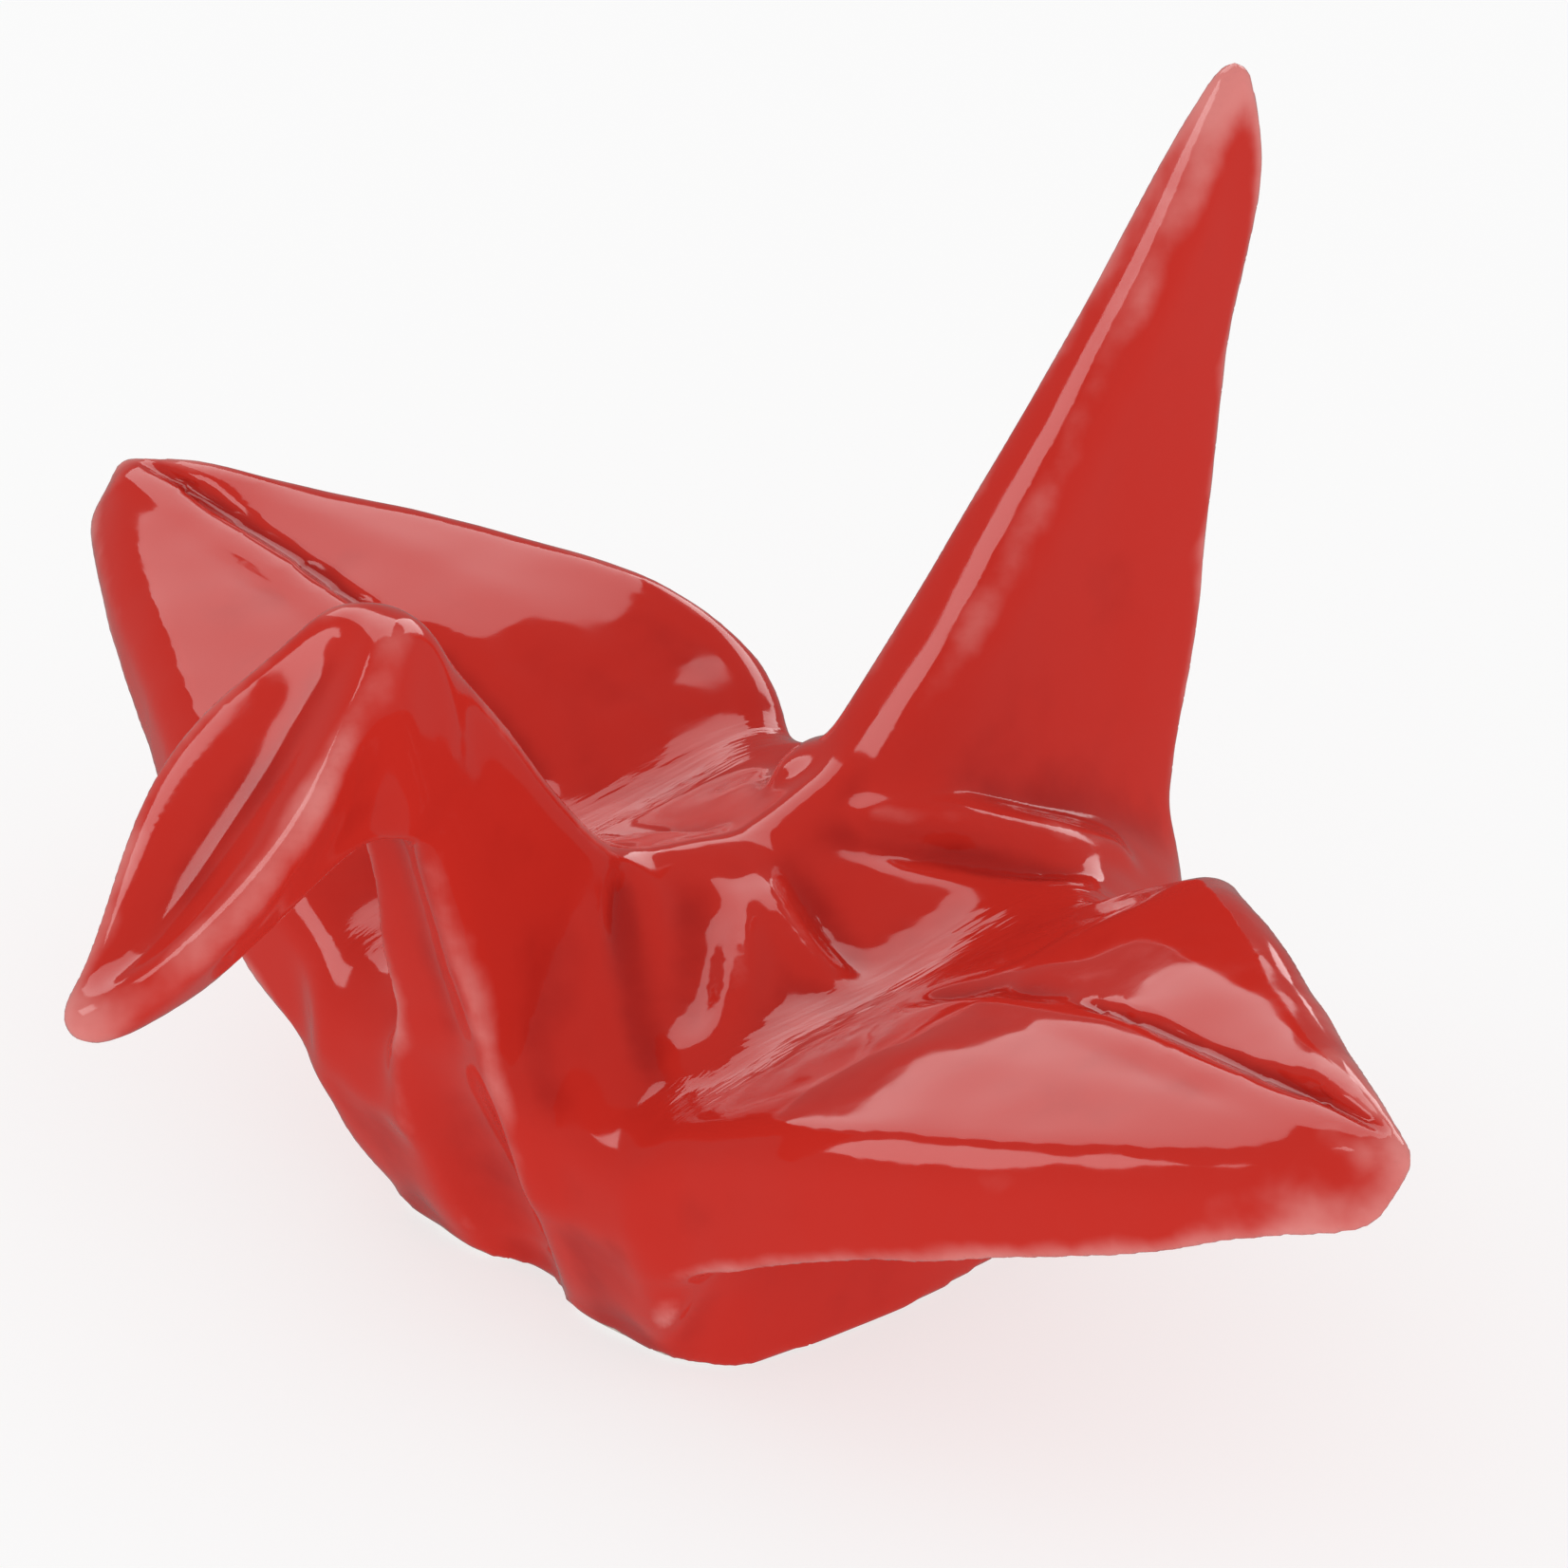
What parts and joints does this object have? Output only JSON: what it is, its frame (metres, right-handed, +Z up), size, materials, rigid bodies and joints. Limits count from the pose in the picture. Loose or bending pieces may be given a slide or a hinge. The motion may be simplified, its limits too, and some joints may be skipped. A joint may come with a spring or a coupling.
{
  "type": "folded crane figurine",
  "caption": "Small glazed ceramic ornament in the shape of a folded paper crane, standing on a flat bare foot.",
  "frame": {"origin": "on the ground under the middle of the outline", "axes": "+X towards the beak, +Y towards the crane's left wing tip, +Z up"},
  "size_m": [0.0524, 0.0696, 0.0372],
  "materials": {
    "clay_body": "matt bisque",
    "joining_slip": "matt bisque",
    "red_glaze": "gloss glaze"
  },
  "bodies": {
    "root": {"body_shell": "clay_body", "neck_and_head": "clay_body", "tail": "clay_body", "left_wing": "clay_body", "right_wing": "clay_body", "neck_slip_seam": "joining_slip", "tail_slip_seam": "joining_slip", "left_wing_slip_seam": "joining_slip", "right_wing_slip_seam": "joining_slip", "glaze_coat": "red_glaze"}
  },
  "joints": []
}
